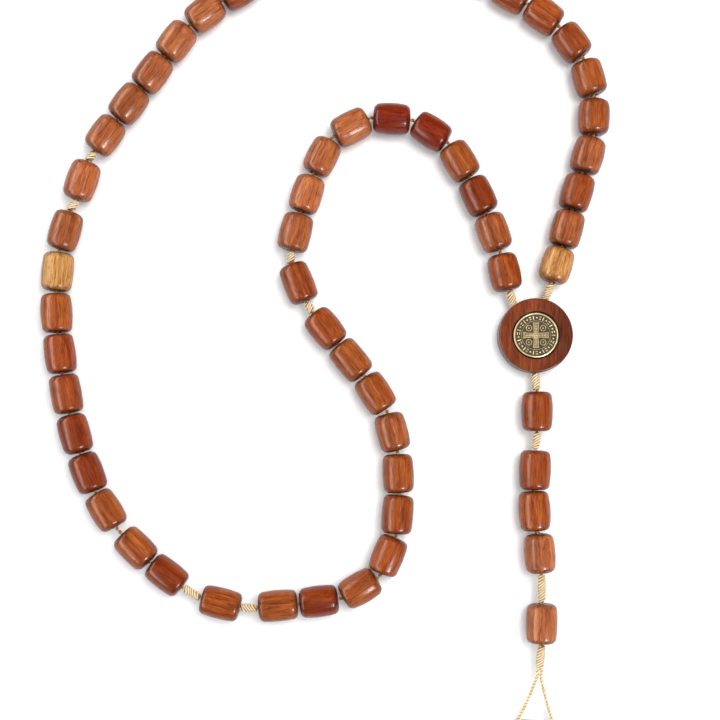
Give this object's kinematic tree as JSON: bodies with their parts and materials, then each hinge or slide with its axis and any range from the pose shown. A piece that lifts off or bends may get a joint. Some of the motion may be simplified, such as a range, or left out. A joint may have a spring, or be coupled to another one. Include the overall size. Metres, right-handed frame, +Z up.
{
  "type": "rosary",
  "caption": "Knotted-cord rosary laid out flat: wooden barrel beads in decades, a round wooden medallion with a set bronze medal, and a pendant ending in a plain wooden cross.",
  "frame": {"origin": "centre of the round medallion's flat back face, on the table the rosary lies on", "axes": "+X to the right across the loop, +Y away from the cross along the length, +Z up from the table"},
  "size_m": [0.2115, 0.3592, 0.012],
  "materials": {
    "bead_wood": "varnished satin",
    "disc_wood": "varnished satin",
    "cross_wood": "varnished satin",
    "medal": "antiqued",
    "cord": "waxed two-ply twist"
  },
  "bodies": {
    "medallion": {"medallion_disc": "disc_wood", "medal": "medal", "medallion_cord": "cord", "our_father_cord_1": "cord", "our_father_cord_2": "cord", "our_father_cord_3": "cord", "our_father_cord_4": "cord"},
    "decade_1": {"decade_1_cord": "cord"},
    "decade_2": {"decade_2_cord": "cord"},
    "decade_3": {"decade_3_cord": "cord"},
    "decade_4": {"decade_4_cord": "cord", "decade_4_beads": "bead_wood"},
    "decade_5": {"decade_5_cord": "cord", "decade_5_beads": "bead_wood"},
    "pendant_1": {"pendant_cord_1": "cord"},
    "pendant_2": {"pendant_cord_2": "cord"},
    "pendant_3": {"pendant_cord_3": "cord"},
    "cross_loop": {"cross_loop": "cord"},
    "cross": {"cross_post": "cross_wood", "cross_arm": "cross_wood"},
    "decade_1_bead_1": {"decade_1_bead_1": "bead_wood"},
    "decade_1_bead_2": {"decade_1_bead_2": "bead_wood"},
    "decade_1_bead_3": {"decade_1_bead_3": "bead_wood"},
    "decade_1_bead_4": {"decade_1_bead_4": "bead_wood"},
    "decade_1_bead_5": {"decade_1_bead_5": "bead_wood"},
    "decade_1_bead_6": {"decade_1_bead_6": "bead_wood"},
    "decade_1_bead_7": {"decade_1_bead_7": "bead_wood"},
    "decade_1_bead_8": {"decade_1_bead_8": "bead_wood"},
    "decade_1_bead_9": {"decade_1_bead_9": "bead_wood"},
    "decade_1_bead_10": {"decade_1_bead_10": "bead_wood"},
    "decade_2_bead_1": {"decade_2_bead_1": "bead_wood"},
    "decade_2_bead_2": {"decade_2_bead_2": "bead_wood"},
    "decade_2_bead_3": {"decade_2_bead_3": "bead_wood"},
    "decade_2_bead_4": {"decade_2_bead_4": "bead_wood"},
    "decade_2_bead_5": {"decade_2_bead_5": "bead_wood"},
    "decade_2_bead_6": {"decade_2_bead_6": "bead_wood"},
    "decade_2_bead_7": {"decade_2_bead_7": "bead_wood"},
    "decade_2_bead_8": {"decade_2_bead_8": "bead_wood"},
    "decade_2_bead_9": {"decade_2_bead_9": "bead_wood"},
    "decade_2_bead_10": {"decade_2_bead_10": "bead_wood"},
    "decade_3_bead_1": {"decade_3_bead_1": "bead_wood"},
    "decade_3_bead_2": {"decade_3_bead_2": "bead_wood"},
    "decade_3_bead_3": {"decade_3_bead_3": "bead_wood"},
    "decade_3_bead_4": {"decade_3_bead_4": "bead_wood"},
    "decade_3_bead_5": {"decade_3_bead_5": "bead_wood"},
    "decade_3_bead_6": {"decade_3_bead_6": "bead_wood"},
    "decade_3_bead_7": {"decade_3_bead_7": "bead_wood"},
    "decade_3_bead_8": {"decade_3_bead_8": "bead_wood"},
    "decade_3_bead_9": {"decade_3_bead_9": "bead_wood"},
    "decade_3_bead_10": {"decade_3_bead_10": "bead_wood"},
    "our_father_bead_1": {"our_father_bead_1": "bead_wood"},
    "our_father_bead_2": {"our_father_bead_2": "bead_wood"},
    "our_father_bead_3": {"our_father_bead_3": "bead_wood"},
    "our_father_bead_4": {"our_father_bead_4": "bead_wood"},
    "pendant_bead_1": {"pendant_bead_1": "bead_wood"},
    "pendant_bead_2": {"pendant_bead_2": "bead_wood"},
    "pendant_bead_3": {"pendant_bead_3": "bead_wood"},
    "pendant_bead_4": {"pendant_bead_4": "bead_wood"},
    "pendant_bead_5": {"pendant_bead_5": "bead_wood"}
  },
  "joints": [
    {"name": "decade_1_fold", "type": "hinge", "parent": "medallion", "child": "decade_1", "pos_m": [-0.0092, 0.01488, 0.0053], "axis": [0.9846, -0.1746, -0.0084], "range_deg": [0, 60]},
    {"name": "decade_2_fold", "type": "hinge", "parent": "medallion", "child": "decade_2", "pos_m": [-0.08368, 0.01003, 0.006], "axis": [-0.1885, -0.9821, 0], "range_deg": [0, 75]},
    {"name": "decade_3_fold", "type": "hinge", "parent": "medallion", "child": "decade_3", "pos_m": [-0.12943, -0.09452, 0.006], "axis": [-0.2861, 0.9582, 0], "range_deg": [0, 75]},
    {"name": "decade_4_fold", "type": "hinge", "parent": "medallion", "child": "decade_4", "pos_m": [-0.16489, 0.06682, 0.006], "axis": [0.8232, 0.5678, 0], "range_deg": [0, 75]},
    {"name": "decade_5_fold", "type": "hinge", "parent": "medallion", "child": "decade_5", "pos_m": [-0.02798, 0.1397, 0.006], "axis": [0.2632, -0.9647, -0.0047], "range_deg": [0, 65]},
    {"name": "pendant_1_swing", "type": "hinge", "parent": "medallion", "child": "pendant_1", "pos_m": [0.00045, -0.01875, 0.00542], "axis": [0, 0, 1], "range_deg": [-20, 20]},
    {"name": "pendant_2_lift", "type": "hinge", "parent": "pendant_1", "child": "pendant_2", "pos_m": [0.00017, -0.04047, 0.006], "axis": [-1, 0, 0], "range_deg": [0, 60]},
    {"name": "pendant_3_swing", "type": "hinge", "parent": "pendant_2", "child": "pendant_3", "pos_m": [0.0024, -0.09741, 0.006], "axis": [0, 0, 1], "range_deg": [-30, 30]},
    {"name": "cross_loop_lift", "type": "hinge", "parent": "pendant_3", "child": "cross_loop", "pos_m": [0.00172, -0.12241, 0.00559], "axis": [-1, 0, 0], "range_deg": [0, 60]},
    {"name": "cross_tilt", "type": "hinge", "parent": "cross_loop", "child": "cross", "pos_m": [0, -0.1475, 0.0035], "axis": [-0.9976, 0.0698, 0], "range_deg": [0, 85]},
    {"name": "spin_decade_1_bead_1", "type": "hinge", "parent": "decade_1", "child": "decade_1_bead_1", "pos_m": [-0.0115, 0.0235, 0.006], "axis": [-0.2157, 0.9765, 0], "continuous": true},
    {"name": "spin_decade_1_bead_2", "type": "hinge", "parent": "decade_1", "child": "decade_1_bead_2", "pos_m": [-0.01563, 0.03827, 0.006], "axis": [-0.3309, 0.9437, 0], "continuous": true},
    {"name": "spin_decade_1_bead_3", "type": "hinge", "parent": "decade_1", "child": "decade_1_bead_3", "pos_m": [-0.02129, 0.0518, 0.006], "axis": [-0.43, 0.9028, 0], "continuous": true},
    {"name": "spin_decade_1_bead_4", "type": "hinge", "parent": "decade_1", "child": "decade_1_bead_4", "pos_m": [-0.02821, 0.06477, 0.006], "axis": [-0.5205, 0.8539, 0], "continuous": true},
    {"name": "spin_decade_1_bead_5", "type": "hinge", "parent": "decade_1", "child": "decade_1_bead_5", "pos_m": [-0.03883, 0.0757, 0.006], "axis": [-0.8402, 0.5422, 0], "continuous": true},
    {"name": "spin_decade_1_bead_6", "type": "hinge", "parent": "decade_1", "child": "decade_1_bead_6", "pos_m": [-0.05342, 0.08049, 0.006], "axis": [-0.9981, 0.062, 0], "continuous": true},
    {"name": "spin_decade_1_bead_7", "type": "hinge", "parent": "decade_1", "child": "decade_1_bead_7", "pos_m": [-0.06852, 0.07733, 0.006], "axis": [-0.8887, -0.4585, 0], "continuous": true},
    {"name": "spin_decade_1_bead_8", "type": "hinge", "parent": "decade_1", "child": "decade_1_bead_8", "pos_m": [-0.07933, 0.06636, 0.006], "axis": [-0.4515, -0.8923, 0], "continuous": true},
    {"name": "spin_decade_1_bead_9", "type": "hinge", "parent": "decade_1", "child": "decade_1_bead_9", "pos_m": [-0.08496, 0.05241, 0.006], "axis": [-0.3139, -0.9494, 0], "continuous": true},
    {"name": "spin_decade_1_bead_10", "type": "hinge", "parent": "decade_1", "child": "decade_1_bead_10", "pos_m": [-0.08919, 0.0382, 0.006], "axis": [-0.2435, -0.9699, 0], "continuous": true},
    {"name": "spin_decade_2_bead_1", "type": "hinge", "parent": "decade_2", "child": "decade_2_bead_1", "pos_m": [-0.07804, 0.00258, 0.006], "axis": [0.6294, -0.7771, 0], "continuous": true},
    {"name": "spin_decade_2_bead_2", "type": "hinge", "parent": "decade_2", "child": "decade_2_bead_2", "pos_m": [-0.0686, -0.00909, 0.006], "axis": [0.6301, -0.7765, 0], "continuous": true},
    {"name": "spin_decade_2_bead_3", "type": "hinge", "parent": "decade_2", "child": "decade_2_bead_3", "pos_m": [-0.05949, -0.02146, 0.006], "axis": [0.5437, -0.8393, 0], "continuous": true},
    {"name": "spin_decade_2_bead_4", "type": "hinge", "parent": "decade_2", "child": "decade_2_bead_4", "pos_m": [-0.05319, -0.03589, 0.006], "axis": [0.2456, -0.9694, 0], "continuous": true},
    {"name": "spin_decade_2_bead_5", "type": "hinge", "parent": "decade_2", "child": "decade_2_bead_5", "pos_m": [-0.05102, -0.05125, 0.006], "axis": [0.0427, -0.9991, 0], "continuous": true},
    {"name": "spin_decade_2_bead_6", "type": "hinge", "parent": "decade_2", "child": "decade_2_bead_6", "pos_m": [-0.05124, -0.0665, 0.006], "axis": [-0.077, -0.997, 0], "continuous": true},
    {"name": "spin_decade_2_bead_7", "type": "hinge", "parent": "decade_2", "child": "decade_2_bead_7", "pos_m": [-0.05477, -0.08177, 0.006], "axis": [-0.3752, -0.9269, 0], "continuous": true},
    {"name": "spin_decade_2_bead_8", "type": "hinge", "parent": "decade_2", "child": "decade_2_bead_8", "pos_m": [-0.06527, -0.09384, 0.006], "axis": [-0.867, -0.4983, 0], "continuous": true},
    {"name": "spin_decade_2_bead_9", "type": "hinge", "parent": "decade_2", "child": "decade_2_bead_9", "pos_m": [-0.0805, -0.09875, 0.006], "axis": [-0.9923, -0.1237, 0], "continuous": true},
    {"name": "spin_decade_2_bead_10", "type": "hinge", "parent": "decade_2", "child": "decade_2_bead_10", "pos_m": [-0.09564, -0.1004, 0.006], "axis": [-0.9961, -0.0881, 0], "continuous": true},
    {"name": "spin_decade_3_bead_1", "type": "hinge", "parent": "decade_3", "child": "decade_3_bead_1", "pos_m": [-0.13697, -0.08903, 0.006], "axis": [-0.7913, 0.6114, 0], "continuous": true},
    {"name": "spin_decade_3_bead_2", "type": "hinge", "parent": "decade_3", "child": "decade_3_bead_2", "pos_m": [-0.14851, -0.07893, 0.006], "axis": [-0.7055, 0.7087, 0], "continuous": true},
    {"name": "spin_decade_3_bead_3", "type": "hinge", "parent": "decade_3", "child": "decade_3_bead_3", "pos_m": [-0.15956, -0.06491, 0.006], "axis": [-0.5228, 0.8524, 0], "continuous": true},
    {"name": "spin_decade_3_bead_4", "type": "hinge", "parent": "decade_3", "child": "decade_3_bead_4", "pos_m": [-0.16637, -0.05106, 0.006], "axis": [-0.3613, 0.9324, 0], "continuous": true},
    {"name": "spin_decade_3_bead_5", "type": "hinge", "parent": "decade_3", "child": "decade_3_bead_5", "pos_m": [-0.17111, -0.03655, 0.006], "axis": [-0.2581, 0.9661, 0], "continuous": true},
    {"name": "spin_decade_3_bead_6", "type": "hinge", "parent": "decade_3", "child": "decade_3_bead_6", "pos_m": [-0.17437, -0.02171, 0.006], "axis": [-0.1756, 0.9845, 0], "continuous": true},
    {"name": "spin_decade_3_bead_7", "type": "hinge", "parent": "decade_3", "child": "decade_3_bead_7", "pos_m": [-0.17667, -0.00678, 0.006], "axis": [-0.1252, 0.9921, 0], "continuous": true},
    {"name": "spin_decade_3_bead_8", "type": "hinge", "parent": "decade_3", "child": "decade_3_bead_8", "pos_m": [-0.17793, 0.00832, 0.006], "axis": [-0.0427, 0.9991, 0], "continuous": true},
    {"name": "spin_decade_3_bead_9", "type": "hinge", "parent": "decade_3", "child": "decade_3_bead_9", "pos_m": [-0.17761, 0.02366, 0.006], "axis": [0.0911, 0.9958, 0], "continuous": true},
    {"name": "spin_decade_3_bead_10", "type": "hinge", "parent": "decade_3", "child": "decade_3_bead_10", "pos_m": [-0.17473, 0.03889, 0.006], "axis": [0.2761, 0.9611, 0], "continuous": true},
    {"name": "spin_our_father_bead_1", "type": "hinge", "parent": "medallion", "child": "our_father_bead_1", "pos_m": [-0.088, 0.0195, 0.006], "axis": [0.3746, -0.9272, 0], "continuous": true},
    {"name": "spin_our_father_bead_2", "type": "hinge", "parent": "medallion", "child": "our_father_bead_2", "pos_m": [-0.117, -0.0995, 0.006], "axis": [-0.9681, 0.2504, 0], "continuous": true},
    {"name": "spin_our_father_bead_3", "type": "hinge", "parent": "medallion", "child": "our_father_bead_3", "pos_m": [-0.1685, 0.0575, 0.006], "axis": [0.3256, 0.9455, 0], "continuous": true},
    {"name": "spin_our_father_bead_4", "type": "hinge", "parent": "medallion", "child": "our_father_bead_4", "pos_m": [-0.0365, 0.1445, 0.006], "axis": [0.891, -0.454, 0], "continuous": true},
    {"name": "spin_pendant_bead_1", "type": "hinge", "parent": "pendant_1", "child": "pendant_bead_1", "pos_m": [0.0006, -0.0282, 0.006], "axis": [-0.0055, -1, 0], "continuous": true},
    {"name": "spin_pendant_bead_2", "type": "hinge", "parent": "pendant_2", "child": "pendant_bead_2", "pos_m": [-0.0002, -0.05, 0.006], "axis": [-0.027, -0.9996, 0], "continuous": true},
    {"name": "spin_pendant_bead_3", "type": "hinge", "parent": "pendant_2", "child": "pendant_bead_3", "pos_m": [-0.0004, -0.0652, 0.006], "axis": [0.058, -0.9983, 0], "continuous": true},
    {"name": "spin_pendant_bead_4", "type": "hinge", "parent": "pendant_2", "child": "pendant_bead_4", "pos_m": [0.0016, -0.081, 0.006], "axis": [0.0645, -0.9979, 0], "continuous": true},
    {"name": "spin_pendant_bead_5", "type": "hinge", "parent": "pendant_3", "child": "pendant_bead_5", "pos_m": [0.0023, -0.107, 0.006], "axis": [-0.0241, -0.9997, 0], "continuous": true}
  ]
}
